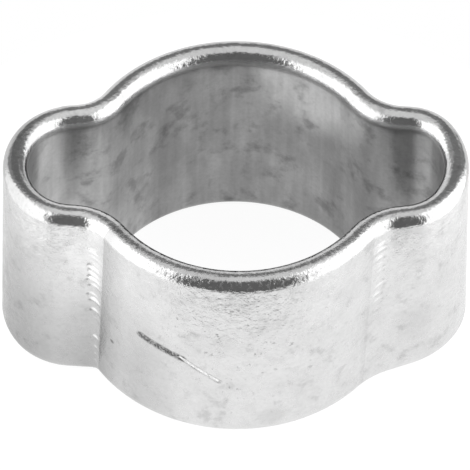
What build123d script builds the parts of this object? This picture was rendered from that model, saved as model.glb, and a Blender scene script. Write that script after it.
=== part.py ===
from build123d import *

import math
import os

# Two-ear hose clamp: one closed steel band that stands on its lower edge.
# The bore runs along Z from the origin, the ears point along +X and -X, and the front faces -Y.
# The band is one prism: a plan outline of tangent arcs, the same wall all round, rounded edges.

# ---- Driving dimensions, in millimetres and degrees ----

bore_diameter = 9.2  # inside of the open band
wall = 0.85  # thickness of the band
band_width = 7.65  # from the lower edge to the upper edge
rim_land = 0.09  # flat left between the two rounded corners of each edge

ear_height = 2.4  # from the outside of the round body to the outside of an ear's tip
crown_radius = 2.8  # outside of the tip
crown_half_angle = 40.0  # the tip's arc, to each side of the ear's middle

# The four corners of the ears were pressed by hand and differ.
# A shoulder is the bulging bend beside the tip, measured on the outside.
# A root is the hollow bend where the ear runs into the round body, also measured on the outside.
shoulder_back_right = 1.9
shoulder_back_left = 2.3
shoulder_front_left = 2.1
shoulder_front_right = 2.5
root_back_right = 1.65
root_back_left = 1.2
root_front_left = 1.05
root_front_right = 2.4

# ---- Sizes that follow ----

body_radius = bore_diameter / 2 + wall
rim_radius = (wall - rim_land) / 2


def on_circle(centre, radius, angle):
    """Point of a circle at an angle in radians from +X."""
    return centre + Vector(math.cos(angle), math.sin(angle)) * radius


def arc(centre, radius, start, end):
    """Arc about a centre between two angles in radians."""
    middle = (start + end) / 2
    return ThreePointArc(
        on_circle(centre, radius, start),
        on_circle(centre, radius, middle),
        on_circle(centre, radius, end),
    )


def direction(start, end):
    """Angle in radians from +X of the line between two points."""
    return math.atan2(end.Y - start.Y, end.X - start.X)


def root_centre(shoulder_centre, shoulder_radius, root_radius):
    """Centre of the hollow bend that touches both the round body and the shoulder from outside."""
    to_body = body_radius + root_radius
    to_shoulder = shoulder_radius + root_radius
    reach = shoulder_centre.length
    along = (to_body**2 - to_shoulder**2 + reach**2) / (2 * reach)
    aside = math.sqrt(to_body**2 - along**2)
    forward = shoulder_centre.normalized()
    leftward = Vector(-forward.Y, forward.X)
    return forward * along + leftward * aside


def quarter(shoulder_radius, root_radius, depth):
    """Back right quarter of the outline, at a depth below the outer surface."""
    middle = Vector(0, 0)
    crown_end = math.radians(crown_half_angle)
    crown = Vector(body_radius + ear_height - crown_radius, 0)
    shoulder = on_circle(crown, crown_radius - shoulder_radius, crown_end)
    root = root_centre(shoulder, shoulder_radius, root_radius)
    return [
        arc(crown, crown_radius - depth, 0, crown_end),
        arc(shoulder, shoulder_radius - depth, crown_end, direction(shoulder, root)),
        arc(root, root_radius + depth, direction(shoulder, root) - math.pi, direction(middle, root) - math.pi),
        arc(middle, body_radius - depth, direction(middle, root), math.pi / 2),
    ]


def outline(depth):
    """Closed outline of the band seen from above, at a depth below the outer surface."""
    back_right = quarter(shoulder_back_right, root_back_right, depth)
    back_left = quarter(shoulder_back_left, root_back_left, depth)
    front_left = quarter(shoulder_front_left, root_front_left, depth)
    front_right = quarter(shoulder_front_right, root_front_right, depth)
    edges = list(back_right)
    edges += [mirror(edge, Plane.YZ) for edge in back_left]
    edges += [edge.rotate(Axis.Z, 180) for edge in front_left]
    edges += [mirror(edge, Plane.XZ) for edge in front_right]
    return make_face(edges)


def clamp_band():
    """The band: its plan raised to the band's width, with all four long corners rounded."""
    band = extrude(outline(0) - outline(wall), amount=band_width)
    edges_by_height = band.faces().filter_by(Axis.Z).edges()
    return fillet(edges_by_height, rim_radius)


os.makedirs("parts", exist_ok=True)
export_step(clamp_band(), "parts/clamp_band.step")
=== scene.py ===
import math
import random
from collections import namedtuple

import bpy
from mathutils import Matrix, Vector, noise


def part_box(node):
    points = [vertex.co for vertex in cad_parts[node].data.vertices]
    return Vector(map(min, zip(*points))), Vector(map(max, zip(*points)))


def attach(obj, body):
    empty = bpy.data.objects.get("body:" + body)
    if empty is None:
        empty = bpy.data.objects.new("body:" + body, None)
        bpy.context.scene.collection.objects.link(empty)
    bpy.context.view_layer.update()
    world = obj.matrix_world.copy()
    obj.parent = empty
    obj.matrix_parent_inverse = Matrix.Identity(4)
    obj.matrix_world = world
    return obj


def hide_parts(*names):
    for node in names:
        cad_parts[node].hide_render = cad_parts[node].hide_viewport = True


# The looks of a two-ear hose clamp: bright zinc-plated steel, stood on a small white table.
# Lengths are in metres and angles in degrees, unless a line says otherwise.

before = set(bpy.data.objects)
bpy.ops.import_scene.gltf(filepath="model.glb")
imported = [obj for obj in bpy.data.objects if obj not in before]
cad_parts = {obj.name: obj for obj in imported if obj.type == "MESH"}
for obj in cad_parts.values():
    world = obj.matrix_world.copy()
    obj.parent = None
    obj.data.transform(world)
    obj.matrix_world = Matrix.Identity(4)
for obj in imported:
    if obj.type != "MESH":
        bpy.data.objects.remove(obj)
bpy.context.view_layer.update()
band_low, band_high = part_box("clamp_band")

MM = 0.001

# ---- Sizes of the band, taken from the frame, repeated from the part or fitted to the photograph ----

band_width = band_high[2] - band_low[2]
tip_limit = min(band_high[0], -band_low[0])  # no ear reaches past the solid
body_radius = min(band_high[1], -band_low[1])
wall = 0.85 * MM  # as in the part

Edge = namedtuple("Edge", "outer inner")  # radii the edge is rounded with on its two sides

front_edge = Edge(0.39 * MM, 0.43 * MM)  # fitted to the photograph
back_edge = Edge(0.27 * MM, 0.53 * MM)  # fitted to the photograph
lower_edge = Edge(0.38 * MM, 0.38 * MM)  # as in the part

# ---- How the pressed ears stand, seen from above ----
# An ear is pressed by hand, so its plan at the upper edge isn't quite its plan at the lower edge.
# The band is drawn between the two.

Ear = namedtuple("Ear", "tip crown")  # reach of the tip from the bore's axis, radius of the tip
Corner = namedtuple("Corner", "shoulder flank root")  # radii of the bends, way the flank faces

crown_half_angle = 31.5

upper_left_ear = Ear(tip=7.81 * MM, crown=2.74 * MM)
lower_left_ear = Ear(tip=7.85 * MM, crown=2.97 * MM)
upper_right_ear = Ear(tip=7.68 * MM, crown=3.09 * MM)
lower_right_ear = Ear(tip=7.75 * MM, crown=2.6 * MM)

back_right = Corner(shoulder=1.86 * MM, flank=85.9, root=1.51 * MM)
back_left = Corner(shoulder=2.53 * MM, flank=84.8, root=1.2 * MM)
upper_front_left = Corner(shoulder=2.28 * MM, flank=85.3, root=1.37 * MM)
lower_front_left = Corner(shoulder=2.29 * MM, flank=85.1, root=0.27 * MM)
upper_front_right = Corner(shoulder=2.15 * MM, flank=83.7, root=1.61 * MM)
lower_front_right = Corner(shoulder=3.05 * MM, flank=68.4, root=2.91 * MM)

# ---- How finely the band is modelled ----

plain_step = 0.12 * MM  # at most, between columns at the back and round the left ear's tip
fine_step = 0.052 * MM  # at most, between columns on the rest of the front, where the wear is
outer_rows = 104
inner_rows = 40
rim_rows = 9  # on each rounded corner

# Spans of the outline, counted counter-clockwise from the right ear's tip, five to each quarter.
left_root_span = 13
right_root_span = 16
first_fine_span = 12  # the spans before it are at the back and round the left ear's tip


# ---------------------------------------------------------------- outline

def ray(angle):
    """The direction at an angle in radians."""
    return Vector((math.cos(angle), math.sin(angle)))


class Bend:
    """An arc of the outline, between angles in radians. A hollow one has its centre outside the band."""

    def __init__(self, centre, radius, start, end, hollow=False):
        self.centre = centre
        self.radius = radius
        self.start = start
        self.end = end
        self.hollow = hollow
        self.length = radius * abs(end - start)

    def at(self, share):
        """Point and outward normal at a share of the bend's length."""
        out = ray(self.start + (self.end - self.start) * share)
        return self.centre + out * self.radius, -out if self.hollow else out


class Flank:
    """A straight run of the outline."""

    def __init__(self, start, end, out):
        self.start = start
        self.end = end
        self.out = out
        self.length = (end - start).length

    def at(self, share):
        """Point and outward normal at a share of the run's length."""
        return self.start.lerp(self.end, share), self.out


def quarter(ear, corner):
    """The outline from an ear's tip, on +X, to the middle of the body, on +Y."""
    crown_end = math.radians(crown_half_angle)
    facing = math.radians(corner.flank)
    crown = Vector((min(ear.tip, tip_limit) - ear.crown, 0.0))
    shoulder = crown + ray(crown_end) * (ear.crown - corner.shoulder)
    out = ray(facing)
    flank_start = shoulder + out * corner.shoulder
    reach = corner.root + flank_start.dot(out)
    to_body = body_radius + corner.root
    root = out * reach + Vector((out.y, -out.x)) * math.sqrt(to_body**2 - reach**2)
    flank_end = root - out * corner.root
    landing = math.atan2(root.y, root.x)
    return [
        Bend(crown, ear.crown, 0.0, crown_end),
        Bend(shoulder, corner.shoulder, crown_end, facing),
        Flank(flank_start, flank_end, out),
        Bend(root, corner.root, facing - math.pi, landing - math.pi, hollow=True),
        Bend(Vector((0.0, 0.0)), body_radius, landing, math.pi / 2),
    ]


def mirrored(point, across_x, across_y):
    """The point with its X, its Y or both turned to the other side."""
    return Vector((-point.x if across_x else point.x, -point.y if across_y else point.y))


def flipped(spans, across_x, across_y):
    """The same spans mirrored to another quarter, kept in counter-clockwise order."""
    turned = across_x != across_y
    result = []
    for span in spans:
        if isinstance(span, Flank):
            start = mirrored(span.start, across_x, across_y)
            end = mirrored(span.end, across_x, across_y)
            out = mirrored(span.out, across_x, across_y)
            result.append(Flank(end, start, out) if turned else Flank(start, end, out))
            continue
        start, end = span.start, span.end
        if across_x:
            start, end = math.pi - start, math.pi - end
        if across_y:
            start, end = -start, -end
        if turned:
            start, end = end, start
        centre = mirrored(span.centre, across_x, across_y)
        result.append(Bend(centre, span.radius, start, end, span.hollow))
    if turned:
        result.reverse()
    return result


def outline(right_ear, left_ear, front_right, front_left):
    """The whole plan at one edge, counter-clockwise from the right ear's tip."""
    spans = quarter(right_ear, back_right)
    spans += flipped(quarter(left_ear, back_left), True, False)
    spans += flipped(quarter(left_ear, front_left), True, True)
    spans += flipped(quarter(right_ear, front_right), False, True)
    return spans


# A column's places and outward sides at both edges, and the way round the band to it.
Column = namedtuple("Column", "low high low_out high_out along")


def columns():
    """All columns round the band, and the way round to the middle of each span."""
    low = outline(lower_right_ear, lower_left_ear, lower_front_right, lower_front_left)
    high = outline(upper_right_ear, upper_left_ear, upper_front_right, upper_front_left)
    placed = []
    middles = []
    along = 0.0
    for index, (under, over) in enumerate(zip(low, high)):
        length = (under.length + over.length) / 2
        step = fine_step if index >= first_fine_span else plain_step
        count = max(2, math.ceil(length / step))
        for part in range(count):
            low_point, low_out = under.at(part / count)
            high_point, high_out = over.at(part / count)
            placed.append(Column(low_point, high_point, low_out, high_out, along + length * part / count))
        middles.append(along + length / 2)
        along += length
    return placed, middles


# ---------------------------------------------------------------- wear pressed into the metal, with painted highlights and pit shade

Fold = namedtuple("Fold", "height shift reach strength pitted")  # one crease crushed into a root
Mark = namedtuple("Mark", "relief shine bruise")  # height of the wear, its painted highlight, and the dirt and painted shade in its pits

strong_strengths = (0.5, 1.0)
weak_strengths = (0.2, 0.7)
fold_shifts = (-0.04, 0.04)  # millimetres
fold_reaches = (0.24, 0.32)  # millimetres, to each side of the crease's middle
fold_spacings = (0.6, 1.45)  # shares of the usual spacing
pitted_share = 0.6  # of the strong creases

fold_height = 0.035 * MM
fold_half_width = 0.19 * MM
fold_range = 0.6 * MM  # farther from a crease's middle there is nothing of it
fold_tilt = 0.225  # share of the reach by which the end at the ear is raised and the other lowered
fold_bow = 0.405  # share of the reach by which both ends hang down
fold_fullness = 0.4  # below 1, a crease keeps its height nearly to its ends
pit_place = 0.75  # share of the reach, towards the ear
pit_drop = 0.1 * MM  # below the crease
pit_radius = 0.09 * MM

# Painted highlights on the creases' crests, and dirt with painted shade in their pits.
left_painted_highlight = 0.9
right_height = 0.6  # share of the left creases' height
right_painted_highlight = 0.6
right_pit_dirt_and_shade = 0.4

# The scratch across the front, seen from the front as (sideways, height) in millimetres.
scratch_line = [(-3.24, 3.86), (-1.90, 3.50), (-0.66, 2.66)]
scratch_depth = 0.035 * MM
scratch_reach = 0.07 * MM

waviness = 0.004 * MM
waves_per_metre = 700

# The relief of the wear fades out towards both edges, between these heights.
lower_fade = (0.2 * MM, 0.6 * MM)
upper_fade = (6.9 * MM, 7.3 * MM)


def smooth(value, low, high):
    """0 below low, 1 above high, and a smooth step between."""
    share = min(1.0, max(0.0, (value - low) / (high - low)))
    return share * share * (3 - 2 * share)


def bump(distance, reach):
    """1 at no distance, falling smoothly to 0 at the reach."""
    return smooth(-abs(distance), -reach, 0.0)


def folds(seed, lowest, highest, spacing, strong_from, shift):
    """Creases up a root, uneven in height, width and strength, and stronger above a height."""
    chance = random.Random(seed)
    result = []
    height = lowest
    while height < highest:
        strong = height > strong_from
        strength = chance.uniform(*(strong_strengths if strong else weak_strengths))
        aside = shift + chance.uniform(*fold_shifts) * MM
        reach = chance.uniform(*fold_reaches) * MM
        pitted = strong and chance.random() < pitted_share
        result.append(Fold(height, aside, reach, strength, pitted))
        height += spacing * chance.uniform(*fold_spacings)
    return result


left_folds = folds(
    seed=11, lowest=0.7 * MM, highest=6.6 * MM, spacing=0.35 * MM, strong_from=3.3 * MM, shift=0.07 * MM
)
right_folds = folds(
    seed=8, lowest=0.5 * MM, highest=6.9 * MM, spacing=0.33 * MM, strong_from=4.1 * MM, shift=-0.12 * MM
)


def fold_relief(creases, offset, height, side):
    """Height of the creases and depth of the pits at a place, as shares of a full crease's height.

    The offset is from the root's middle, and the side is -1 where the ear lies to the left.
    """
    raised = 0.0
    pit = 0.0
    for crease in creases:
        aside = offset - crease.shift
        share = aside / crease.reach
        if abs(height - crease.height) > fold_range:
            continue
        crest = crease.height - crease.reach * (fold_bow * share**2 - fold_tilt * share * side)
        if abs(share) < 1:
            profile = bump(height - crest, fold_half_width) * bump(share, 1.0) ** fold_fullness
            raised = max(raised, profile * crease.strength)
        if crease.pitted:
            away = Vector((aside - side * pit_place * crease.reach, height - crest + pit_drop))
            pit = max(pit, bump(away.length, pit_radius))
    return raised, pit


def scratch_nearness(place):
    """Share of the scratch's depth at a place on the front."""
    seen = Vector((place.x, place.z))
    points = [Vector(point) * MM for point in scratch_line]
    best = 0.0
    for start, end in zip(points, points[1:]):
        run = end - start
        share = min(1.0, max(0.0, (seen - start).dot(run) / run.length_squared))
        best = max(best, bump((seen - start - run * share).length, scratch_reach))
    return best


def outer_wear(place, offset_left, offset_right):
    """The wear, with its painted highlight and its pits' dirt and painted shade, at a place on the outer
    face, which lies so far from the middles of the two roots.
    """
    relief = -waviness * (1 + noise.noise(place * waves_per_metre))
    shine = 0.0
    bruise = 0.0
    if abs(offset_left) < fold_range:
        crest, pit = fold_relief(left_folds, offset_left, place.z, side=-1)
        relief += fold_height * (crest - pit)
        shine, bruise = left_painted_highlight * crest * (1 - pit), pit
    if abs(offset_right) < fold_range:
        crest, pit = fold_relief(right_folds, offset_right, place.z, side=1)
        relief += right_height * fold_height * (crest - pit)
        shine, bruise = right_painted_highlight * crest, right_pit_dirt_and_shade * pit
    if place.y < 0:
        relief -= scratch_depth * scratch_nearness(place)
    return Mark(relief, shine, bruise)


# ---------------------------------------------------------------- section of the wall

# A row's depth is measured from the outer face. Its last three values are shares for the material.
Row = namedtuple("Row", "depth height inside rim lip")
Step = namedtuple("Step", "turn inward upward")  # upward is below 0, down from the edge

dull_turns = (7, 18)  # of the inner rounding, where the dull inside, darkened also by painted shade, gives way to bright metal
lip_turns = (26, 36)  # of the inner rounding, where the rough lip gives way to the polished rim
front_to_back = (-0.6, 1.0)  # Y of the outward side, where the edge's rounding changes


def rounding(radius, start, end):
    """Steps along a rounded edge, from where wall and top would meet. A turn of 90 is on top."""
    for index in range(rim_rows):
        turn = start + (end - start) * index / rim_rows
        angle = math.radians(turn)
        yield Step(turn, radius * (1 - math.cos(angle)), radius * (math.sin(angle) - 1))


def section_rows(upper):
    """Places round the wall's section, from the outer face over the upper edge and back below."""
    rows = []
    low = lower_edge.outer
    high = band_width - upper.outer
    for index in range(outer_rows):
        rows.append(Row(0.0, low + (high - low) * index / outer_rows, 0.0, 0.0, 0.0))
    for step in rounding(upper.outer, 0, 90):
        rows.append(Row(step.inward, band_width + step.upward, 0.0, 1.0, 0.0))
    for step in rounding(upper.inner, 90, 0):
        dull = 1 - smooth(step.turn, *dull_turns)
        lip = 1 - smooth(step.turn, *lip_turns)
        rows.append(Row(wall - step.inward, band_width + step.upward, dull, 1.0, lip))
    low = lower_edge.inner
    high = band_width - upper.inner
    for index in range(inner_rows):
        rows.append(Row(wall, high + (low - high) * index / inner_rows, 1.0, 0.0, 0.0))
    for step in rounding(lower_edge.inner, 0, 90):
        rows.append(Row(wall - step.inward, -step.upward, 1.0, 1.0, 0.0))
    for step in rounding(lower_edge.outer, 90, 0):
        rows.append(Row(step.inward, -step.upward, 0.0, 1.0, 0.0))
    return rows


def edge_at(out):
    """The upper edge's rounding where the wall faces that way."""
    share = 1 - smooth(out.y, *front_to_back)
    outer = back_edge.outer + (front_edge.outer - back_edge.outer) * share
    inner = back_edge.inner + (front_edge.inner - back_edge.inner) * share
    return Edge(outer, inner)


def band_points(placed, middles):
    """Every point of the band, column by column, and the values that its material reads there."""
    points = []
    values = {name: [] for name in ("inside", "rim", "lip", "shine", "bruise", "left_root", "right_root")}
    for column in placed:
        offset_left = column.along - middles[left_root_span]
        offset_right = column.along - middles[right_root_span]
        for row in section_rows(edge_at(column.low_out)):
            share = row.height / band_width
            out = column.low_out.lerp(column.high_out, share).normalized()
            point = column.low.lerp(column.high, share) - out * row.depth
            place = Vector((point.x, point.y, row.height))
            mark = Mark(0.0, 0.0, 0.0)
            if row.depth == 0.0:
                fade = smooth(row.height, *lower_fade) * (1 - smooth(row.height, *upper_fade))
                mark = outer_wear(place, offset_left, offset_right)
                place += Vector((out.x, out.y, 0.0)) * mark.relief * fade
            points.append(place)
            values["inside"].append(row.inside)
            values["rim"].append(row.rim)
            values["lip"].append(row.lip)
            values["shine"].append(mark.shine)
            values["bruise"].append(mark.bruise)
            values["left_root"].append(offset_left / MM)
            values["right_root"].append(offset_right / MM)
    return points, values


def band_faces(column_count, row_count):
    """Squares between neighbouring columns and rows, closed both ways round."""
    faces = []
    for column in range(column_count):
        here = column * row_count
        following = (column + 1) % column_count * row_count
        for row in range(row_count):
            above = (row + 1) % row_count
            faces.append((here + row, following + row, following + above, here + above))
    return faces


def band_mesh():
    """The whole band as one closed surface."""
    placed, middles = columns()
    points, values = band_points(placed, middles)
    mesh = bpy.data.meshes.new("clamp_band_surface")
    mesh.from_pydata(points, [], band_faces(len(placed), len(points) // len(placed)))
    mesh.shade_smooth()
    for name, numbers in values.items():
        layer = mesh.attributes.new(name, "FLOAT", "POINT")
        layer.data.foreach_set("value", numbers)
    mesh.update()
    return mesh


# ---------------------------------------------------------------- node helpers

def plug(tree, socket, value):
    """Links a socket to another socket, or sets it to a constant."""
    if isinstance(value, bpy.types.NodeSocket):
        tree.links.new(value, socket)
    else:
        socket.default_value = value


def attribute(tree, name):
    """A value that band_mesh stored at the mesh's points."""
    node = tree.nodes.new("ShaderNodeAttribute")
    node.attribute_name = name
    return node.outputs["Fac"]


def maths(tree, operation, first, second):
    """The result of a maths node, whose inputs are numbers or sockets."""
    node = tree.nodes.new("ShaderNodeMath")
    node.operation = operation
    plug(tree, node.inputs[0], first)
    plug(tree, node.inputs[1], second)
    return node.outputs["Value"]


def vector_maths(tree, operation, first, second):
    """A vector maths node, of which the caller takes the output."""
    node = tree.nodes.new("ShaderNodeVectorMath")
    node.operation = operation
    plug(tree, node.inputs[0], first)
    plug(tree, node.inputs["Scale"] if operation == "SCALE" else node.inputs[1], second)
    return node


def sum_of(tree, *values):
    total = values[0]
    for value in values[1:]:
        total = maths(tree, "ADD", total, value)
    return total


def product(tree, *values):
    total = values[0]
    for value in values[1:]:
        total = maths(tree, "MULTIPLY", total, value)
    return total


def between(tree, share, low, high):
    """A value that goes from low to high with the share, each a number or a socket."""
    node = tree.nodes.new("ShaderNodeMix")
    node.data_type = "FLOAT"
    plug(tree, node.inputs["Factor"], share)
    plug(tree, node.inputs["A"], low)
    plug(tree, node.inputs["B"], high)
    return node.outputs["Result"]


def shade(tree, share, tone):
    """A factor of 1 where the share is 0, and of the tone where it is 1."""
    return between(tree, share, 1.0, tone)


def ramp(tree, value, low, high, bottom=0.0, top=1.0):
    """A smooth step from the bottom, where the value is low, to the top, where it is high."""
    node = tree.nodes.new("ShaderNodeMapRange")
    node.interpolation_type = "SMOOTHSTEP"
    node.inputs["From Min"].default_value = low
    node.inputs["From Max"].default_value = high
    node.inputs["To Min"].default_value = bottom
    node.inputs["To Max"].default_value = top
    tree.links.new(value, node.inputs["Value"])
    return node.outputs["Result"]


def parts_of(tree, vector):
    """The X, Y and Z outputs of a vector."""
    node = tree.nodes.new("ShaderNodeSeparateXYZ")
    tree.links.new(vector, node.inputs["Vector"])
    return node.outputs


def millimetres(tree, stretch=1.0):
    """Places on the object in millimetres, with heights divided by the stretch."""
    place = tree.nodes.new("ShaderNodeTexCoord")
    mapping = tree.nodes.new("ShaderNodeMapping")
    mapping.inputs["Scale"].default_value = (1 / MM, 1 / MM, 1 / MM / stretch)
    tree.links.new(place.outputs["Object"], mapping.inputs["Vector"])
    return mapping.outputs["Vector"]


def cloud(tree, vector, per_mm, detail, low, high, roughness=0.5):
    """Noise from 0 to 1, cut off below low and above high."""
    node = tree.nodes.new("ShaderNodeTexNoise")
    node.inputs["Scale"].default_value = per_mm
    node.inputs["Detail"].default_value = detail
    node.inputs["Roughness"].default_value = roughness
    tree.links.new(vector, node.inputs["Vector"])
    return ramp(tree, node.outputs["Fac"], low, high)


def patch(tree, vector, spot):
    """1 at the middle of an oval spot and 0 outside it, seen from the front."""
    parts = parts_of(tree, vector)
    squares = []
    for axis, middle, far in zip("XZ", spot.centre, spot.reach):
        share = maths(tree, "DIVIDE", maths(tree, "SUBTRACT", parts[axis], middle), far)
        squares.append(maths(tree, "MULTIPLY", share, share))
    return ramp(tree, sum_of(tree, *squares), 0.0, 1.0, bottom=1.0, top=0.0)


def line_nearness(tree, vector, start, end, near, far):
    """1 within `near` of a straight line on the front and 0 beyond `far`, in millimetres."""
    run = Vector((end[0] - start[0], 0.0, end[1] - start[1]))
    flat = vector_maths(tree, "MULTIPLY", vector, (1.0, 0.0, 1.0))
    offset = vector_maths(tree, "SUBTRACT", flat.outputs["Vector"], (start[0], 0.0, start[1]))
    along = vector_maths(tree, "DOT_PRODUCT", offset.outputs["Vector"], run / run.length_squared)
    share = tree.nodes.new("ShaderNodeClamp")
    tree.links.new(along.outputs["Value"], share.inputs["Value"])
    nearest = vector_maths(tree, "SCALE", run, share.outputs["Result"])
    gap = vector_maths(tree, "DISTANCE", offset.outputs["Vector"], nearest.outputs["Vector"])
    return ramp(tree, gap.outputs["Value"], near, far, bottom=1.0, top=0.0)


# ---------------------------------------------------------------- zinc-plated steel

# An oval spot's centre and reach are (sideways, height) in millimetres.
Spot = namedtuple("Spot", "centre reach")
Tint = namedtuple("Tint", "spot tone")  # the tone is a factor, and 1 changes nothing

# The low tint on the left is painted shade; the other two are dull spots on the metal.
outer_tints = {
    "dull_spot_on_right_ear": Tint(Spot((5.9, 2.4), (1.0, 1.3)), 0.92),
    "painted_shade_low_on_the_left": Tint(Spot((-3.9, 1.0), (2.3, 5.0)), 0.8),
    "dull_spot_below_middle": Tint(Spot((1.1, 0.8), (0.7, 0.5)), 0.9),
}
# Painted light and shade in broad patches inside the band.
inner_painted_light_and_shade = {
    "painted_light_below_back_rim": Tint(Spot((2.5, 7.3), (2.3, 2.9)), 2.2),
    "painted_light_on_left_ear_tip": Tint(Spot((-6.2, 3.0), (0.62, 9.0)), 1.75),
    "painted_light_at_left_root": Tint(Spot((-4.9, 2.4), (1.0, 6.0)), 1.65),
    "painted_shade_beside_right_root": Tint(Spot((3.9, 3.0), (1.1, 6.0)), 0.75),
    "painted_shade_left_of_middle": Tint(Spot((-2.3, 4.0), (0.7, 7.0)), 0.88),
    "painted_light_low_on_the_left": Tint(Spot((-3.7, 0.6), (1.2, 2.4)), 1.3),
    "painted_light_on_right_ear": Tint(Spot((5.8, 3.8), (1.6, 9.0)), 1.25),
}

# The scratch has painted shade along the first run of its line, and a painted highlight beside the
# second.
scratch_highlight_start = (-1.95, 3.54)
scratch_highlight_end = (-0.72, 2.70)
lone_pit = Tint(Spot((-4.2, 2.47), (0.08, 0.11)), 0.4)

worn_front = Spot((0.4, 4.6), (4.2, 4.6))
uneven_rim = Spot((0.0, 7.65), (7.6, 3.0))

painted_highlight_tone = 0.97  # tone of the painted highlights on the creases and beside the scratch
satin = 0.30  # roughness of the inside
dull_lip = 0.42  # roughness where the rim turns into the inside
bump_depth = 0.006 * MM

# Shares of the surface, as sockets. The front wall is the outside of the front, without the rim.
Areas = namedtuple("Areas", "inside rim front front_wall worn pits")


def areas_of(tree, vector):
    """The areas that the metal's tone, roughness and relief share."""
    inside = attribute(tree, "inside")
    rim = attribute(tree, "rim")
    front = ramp(tree, parts_of(tree, vector)["Y"], -1.0, 0.0, bottom=1.0, top=0.0)
    outside = maths(tree, "SUBTRACT", 1.0, inside)
    wall_only = product(tree, outside, maths(tree, "SUBTRACT", 1.0, rim))
    front_wall = product(tree, front, wall_only)
    worn = product(tree, patch(tree, vector, worn_front), front_wall)
    holes = cloud(tree, vector, per_mm=3.6, detail=4.0, low=0.62, high=0.72, roughness=0.65)
    return Areas(inside, rim, front, front_wall, worn, product(tree, holes, worn))


def tinted(tree, vector, tints):
    """The factor that all the tints give together."""
    shades = [shade(tree, patch(tree, vector, tint.spot), tint.tone) for tint in tints.values()]
    return product(tree, *shades)


def painted_root_shade(tree, offset, start, end, tone):
    """Painted shade on the body's side of a root, strongest at the start and gone at the end."""
    fading = ramp(tree, offset, start, end, bottom=tone, top=1.0)
    return shade(tree, maths(tree, "GREATER_THAN", offset, start), fading)


def outer_tone(tree, vector):
    """Bright zinc with faint cloudy tarnish and fine dark specks, and painted shade and painted light in
    broad areas.
    """
    parts = parts_of(tree, vector)
    blotches = cloud(tree, vector, per_mm=0.8, detail=5.0, low=0.35, high=0.7, roughness=0.6)
    grain = cloud(tree, vector, per_mm=6.0, detail=4.0, low=0.3, high=0.7, roughness=0.6)
    smudges = cloud(tree, vector, per_mm=1.6, detail=6.0, low=0.54, high=0.70, roughness=0.65)
    specks = cloud(tree, vector, per_mm=6.5, detail=2.0, low=0.70, high=0.76)
    on_left_ear = ramp(tree, parts["X"], -5.0, -3.9, bottom=1.0, top=0.1)
    # Painted shade low on the left ear and painted light high on it.
    painted_light_upwards = ramp(tree, parts["Z"], 0.4, 6.6, bottom=0.77, top=1.16)
    # Painted shade towards the left ear's tip.
    painted_shade_to_left_tip = ramp(tree, parts["X"], -7.9, -5.2, bottom=0.62, top=0.97)
    from_left_root = attribute(tree, "left_root")
    from_right_root = maths(tree, "MULTIPLY", attribute(tree, "right_root"), -1.0)
    return product(
        tree,
        between(tree, blotches, 0.76, 0.70),
        between(tree, grain, 0.965, 1.025),
        shade(tree, smudges, 0.86),
        shade(tree, specks, 0.85),
        painted_shade_to_left_tip,
        shade(tree, on_left_ear, painted_light_upwards),
        tinted(tree, vector, outer_tints),
        # Painted shade beside both roots.
        painted_root_shade(tree, from_left_root, start=0.36, end=1.7, tone=0.76),
        painted_root_shade(tree, from_right_root, start=0.42, end=0.75, tone=0.93),
    )


def inner_tone(tree, vector):
    """Zinc inside the band, darker than outside partly for its duller finish and partly as painted shade,
    with dark and light stains drawn out along the bore.
    """
    streaks = millimetres(tree, stretch=2.0)
    drawn = millimetres(tree, stretch=16.0)
    stains = cloud(tree, streaks, per_mm=0.9, detail=5.0, low=0.38, high=0.66)
    blots = cloud(tree, vector, per_mm=1.1, detail=5.0, low=0.5, high=0.72, roughness=0.6)
    grain = cloud(tree, vector, per_mm=8.0, detail=4.0, low=0.3, high=0.7)
    lines = cloud(tree, drawn, per_mm=4.0, detail=3.0, low=0.35, high=0.65)
    return product(
        tree,
        # The low tone inside is partly painted shade.
        between(tree, stains, 0.228, 0.29),
        between(tree, blots, 1.05, 0.62),
        between(tree, grain, 0.96, 1.04),
        between(tree, lines, 0.95, 1.05),
        tinted(tree, vector, inner_painted_light_and_shade),
    )


def steel_tone(tree, vector, areas):
    """The grey of the metal, with the scratch's painted shade and painted highlight, the pits' dirt and
    painted shade, and the painted highlights on the creases.
    """
    ragged = cloud(tree, vector, per_mm=14.0, detail=2.0, low=0.3, high=0.6)
    # Painted shade along the scratch, a painted highlight beside it, and painted shade on its sides.
    painted_scratch_shade = line_nearness(tree, vector, scratch_line[0], scratch_line[1], near=0.07, far=0.2)
    painted_scratch_shade = product(tree, painted_scratch_shade, areas.front_wall, between(tree, ragged, 0.3, 1.0))
    painted_scratch_highlight = line_nearness(tree, vector, scratch_highlight_start, scratch_highlight_end, near=0.03, far=0.07)
    painted_scratch_highlight = product(tree, painted_scratch_highlight, areas.front_wall, between(tree, ragged, 0.15, 1.0))
    painted_shade_beside_scratch = line_nearness(tree, vector, scratch_highlight_start, scratch_line[2], near=0.06, far=0.15)
    painted_shade_beside_scratch = product(tree, painted_shade_beside_scratch, areas.front_wall, ragged)
    pit = product(tree, patch(tree, vector, lone_pit.spot), areas.front_wall)
    tone = product(
        tree,
        between(tree, areas.inside, outer_tone(tree, vector), inner_tone(tree, vector)),
        # Dirt and painted shade in the pits at the creases' ends.
        shade(tree, attribute(tree, "bruise"), 0.4),
        shade(tree, areas.pits, 0.7),
        shade(tree, painted_scratch_shade, 0.15),
        shade(tree, pit, lone_pit.tone),
        shade(tree, painted_shade_beside_scratch, 0.7),
    )
    # Painted highlights on the creases' crests and beside the scratch.
    painted_crease_highlight = ramp(tree, attribute(tree, "shine"), 0.25, 0.65)
    return between(tree, maths(tree, "MAXIMUM", painted_crease_highlight, painted_scratch_highlight), tone, painted_highlight_tone)


def rim_unevenness(tree, vector, areas):
    """1 on the middle of the front rim, which is the most uneven, and less towards the ears."""
    return product(tree, patch(tree, vector, uneven_rim), areas.front)


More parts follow.
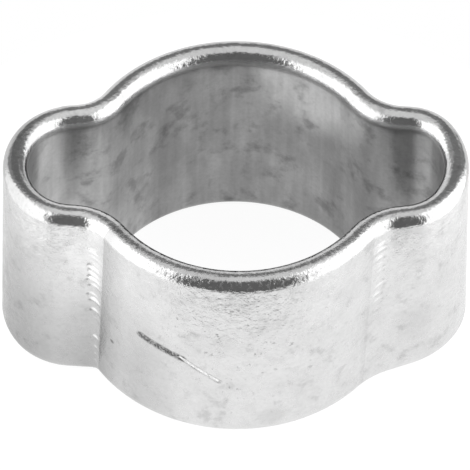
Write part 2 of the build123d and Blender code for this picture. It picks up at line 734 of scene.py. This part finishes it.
def steel_roughness(tree, vector, areas):
    """How dull the metal is, unevenly so on the wall and in flecks on the rim."""
    dulling = cloud(tree, vector, per_mm=2.2, detail=4.0, low=0.3, high=0.7)
    flecks = cloud(tree, vector, per_mm=8.0, detail=3.0, low=0.5, high=0.62, roughness=0.6)
    flecks = product(tree, flecks, between(tree, rim_unevenness(tree, vector, areas), 0.4, 1.0))
    on_wall = between(tree, dulling, 0.16, 0.30)
    on_rim = between(tree, flecks, 0.09, 0.32)
    outside = between(tree, areas.rim, on_wall, on_rim)
    return between(tree, attribute(tree, "lip"), between(tree, areas.inside, outside, satin), dull_lip)


def steel_relief(tree, vector, areas):
    """Normals of the fine grit, dents and pits that are too small for the mesh."""
    grit = cloud(tree, vector, per_mm=11.0, detail=4.0, low=0.0, high=1.0, roughness=0.6)
    dents = cloud(tree, vector, per_mm=3.5, detail=3.0, low=0.0, high=1.0, roughness=0.55)
    squiggles = cloud(tree, vector, per_mm=5.0, detail=3.0, low=0.33, high=0.67, roughness=0.6)
    frosting = cloud(tree, vector, per_mm=7.0, detail=4.0, low=0.44, high=0.70, roughness=0.65)
    frost_height = between(tree, rim_unevenness(tree, vector, areas), 0.22, 0.5)
    height = sum_of(
        tree,
        grit,
        product(tree, dents, 2.0),
        product(tree, squiggles, areas.worn, 1.1),
        product(tree, frosting, areas.rim, frost_height),
        product(tree, areas.pits, -1.5),
    )
    node = tree.nodes.new("ShaderNodeBump")
    node.inputs["Distance"].default_value = bump_depth
    softened = product(tree, height, shade(tree, areas.inside, 0.4), shade(tree, areas.rim, 0.75))
    tree.links.new(softened, node.inputs["Height"])
    return node.outputs["Normal"]


def plated_steel():
    """Zinc-plated steel, grey, so one tone goes to all three channels."""
    material = bpy.data.materials.new("zinc_plated_steel")
    material.use_nodes = True
    tree = material.node_tree
    shader = tree.nodes["Principled BSDF"]
    shader.inputs["Metallic"].default_value = 1.0
    vector = millimetres(tree)
    areas = areas_of(tree, vector)
    tone = steel_tone(tree, vector, areas)
    colour = tree.nodes.new("ShaderNodeCombineColor")
    for channel in ("Red", "Green", "Blue"):
        tree.links.new(tone, colour.inputs[channel])
    tree.links.new(colour.outputs["Color"], shader.inputs["Base Color"])
    tree.links.new(steel_roughness(tree, vector, areas), shader.inputs["Roughness"])
    tree.links.new(steel_relief(tree, vector, areas), shader.inputs["Normal"])
    return material


# ---------------------------------------------------------------- studio

table_radius = 13.5 * MM
table_grey = 0.2  # its own surface, which the tent lights
table_glow = 0.92  # its glow to the camera and in reflections
tent_radius = 0.7
tile = 5  # the most that a panel's face spans

Panel = namedtuple("Panel", "left right low high strength")

# Cards and lamps of the light tent round the table. Left and right are azimuths, 0 at the front and
# 90 at the right, low and high are elevations, and a strength of 1 is white. No two overlap.
tent_panels = {
    "left_softbox": Panel(-122, -41, -55, 59, 1.6),
    "right_softbox": Panel(41, 120, -55, 64, 1.6),
    "front_flag": Panel(-41, 41, -55, 70, 0.14),
    "left_back_card": Panel(-150, -122, -55, 22, 0.95),
    "left_back_flag": Panel(-150, -122, 22, 60, 0.35),
    "right_back_card": Panel(120, 150, -55, 8, 0.8),
    "right_back_flag": Panel(120, 150, 8, 60, 0.24),
    "back_card": Panel(150, 210, -12, 32, 0.8),
    "back_flag": Panel(150, 210, 32, 62, 0.2),
    "front_roof": Panel(-122, 120, 70, 90, 0.75),
    "back_roof": Panel(120, 238, 62, 90, 0.75),
    "left_roof": Panel(-122, -41, 59, 70, 0.75),
    "right_roof": Panel(41, 120, 64, 70, 0.75),
}


def glow(name, strength):
    """A material that gives off white light and has no surface of its own."""
    material = bpy.data.materials.new(name)
    material.use_nodes = True
    nodes = material.node_tree.nodes
    nodes.clear()
    light = nodes.new("ShaderNodeEmission")
    light.inputs["Strength"].default_value = strength
    output = nodes.new("ShaderNodeOutputMaterial")
    material.node_tree.links.new(light.outputs["Emission"], output.inputs["Surface"])
    return material


def white_where_seen(tree, amount):
    """The amount for camera, glossy and transmission rays, and 0 for the rest."""
    path = tree.nodes.new("ShaderNodeLightPath")
    seen = maths(tree, "MAXIMUM", path.outputs["Is Camera Ray"], path.outputs["Is Glossy Ray"])
    seen = maths(tree, "MAXIMUM", seen, path.outputs["Is Transmission Ray"])
    return maths(tree, "MULTIPLY", seen, amount)


def table_white():
    """White to the camera and in reflections, over a plain grey surface."""
    material = bpy.data.materials.new("table_white")
    material.use_nodes = True
    tree = material.node_tree
    shader = tree.nodes["Principled BSDF"]
    shader.inputs["Base Color"].default_value = (table_grey, table_grey, table_grey, 1.0)
    shader.inputs["Roughness"].default_value = 0.9
    shader.inputs["Specular IOR Level"].default_value = 0.0
    shader.inputs["Emission Color"].default_value = (1.0, 1.0, 1.0, 1.0)
    tree.links.new(white_where_seen(tree, table_glow), shader.inputs["Emission Strength"])
    return material


def tent_point(azimuth, elevation):
    """A point of the tent, where an azimuth of 0 is the front and 90 the right."""
    around = math.radians(azimuth)
    upward = math.radians(elevation)
    level = tent_radius * math.cos(upward)
    return level * math.sin(around), -level * math.cos(around), tent_radius * math.sin(upward)


def tent_panel(name, panel):
    """A patch of a sphere round the table, which the camera doesn't see."""
    across = max(2, math.ceil((panel.right - panel.left) / tile))
    up = max(2, math.ceil((panel.high - panel.low) / tile))
    points = []
    for i in range(up + 1):
        elevation = panel.low + (panel.high - panel.low) * i / up
        for j in range(across + 1):
            points.append(tent_point(panel.left + (panel.right - panel.left) * j / across, elevation))
    faces = []
    for i in range(up):
        for j in range(across):
            first = i * (across + 1) + j
            faces.append((first, first + 1, first + across + 2, first + across + 1))
    mesh = bpy.data.meshes.new(name)
    mesh.from_pydata(points, [], faces)
    mesh.materials.append(glow(name, panel.strength))
    card = bpy.data.objects.new(name, mesh)
    bpy.context.scene.collection.objects.link(card)
    card.visible_camera = False
    card.visible_shadow = False


def build_studio():
    """The table, the tent round it and the white beyond."""
    bpy.ops.mesh.primitive_circle_add(vertices=128, radius=table_radius, fill_type="NGON")
    table = bpy.context.object
    table.name = "table"
    table.data.materials.append(table_white())
    for name, panel in tent_panels.items():
        tent_panel(name, panel)
    world = bpy.data.worlds.new("white_tent")
    world.use_nodes = True
    tree = world.node_tree
    background = tree.nodes["Background"]
    background.inputs["Color"].default_value = (1.0, 1.0, 1.0, 1.0)
    tree.links.new(white_where_seen(tree, 1.0), background.inputs["Strength"])
    bpy.context.scene.world = world


# ---------------------------------------------------------------- camera

image_width = 470  # pixels
focal_length = 12954  # pixels
sensor_width = 36.0  # millimetres
view_elevation = 49.29
view_turn = -1.70
view_roll = 0.995
view_distance = 0.436
aim_right = -0.0125 * MM
aim_up = 2.509 * MM


def build_camera():
    """A long lens, whose aim is moved off the origin along the picture's own directions."""
    rise = math.radians(view_elevation)
    turn = math.radians(view_turn)
    roll = math.radians(view_roll)
    back = Vector((math.sin(turn) * math.cos(rise), -math.cos(turn) * math.cos(rise), math.sin(rise)))
    level = Vector((math.cos(turn), math.sin(turn), 0.0))
    upright = back.cross(level)
    right = level * math.cos(roll) + upright * math.sin(roll)
    up = upright * math.cos(roll) - level * math.sin(roll)
    camera = bpy.data.objects.new("camera", bpy.data.cameras.new("camera"))
    bpy.context.scene.collection.objects.link(camera)
    camera.data.sensor_width = sensor_width
    camera.data.lens = sensor_width * focal_length / image_width
    camera.data.clip_start = 0.01
    camera.data.clip_end = 5.0
    place = back * view_distance + right * aim_right + up * aim_up
    axes = Matrix((right, up, back)).transposed()
    camera.matrix_world = Matrix.Translation(place) @ axes.to_4x4()
    bpy.context.scene.camera = camera


# ---------------------------------------------------------------- all together

def build_band():
    """The one piece of the object, which stands for the one solid."""
    band = bpy.data.objects.new("clamp_band_plated", band_mesh())
    bpy.context.scene.collection.objects.link(band)
    band.data.materials.append(plated_steel())
    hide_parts("clamp_band")
    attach(band, "root")


build_band()
build_studio()
build_camera()
bpy.context.scene.view_settings.view_transform = "Standard"
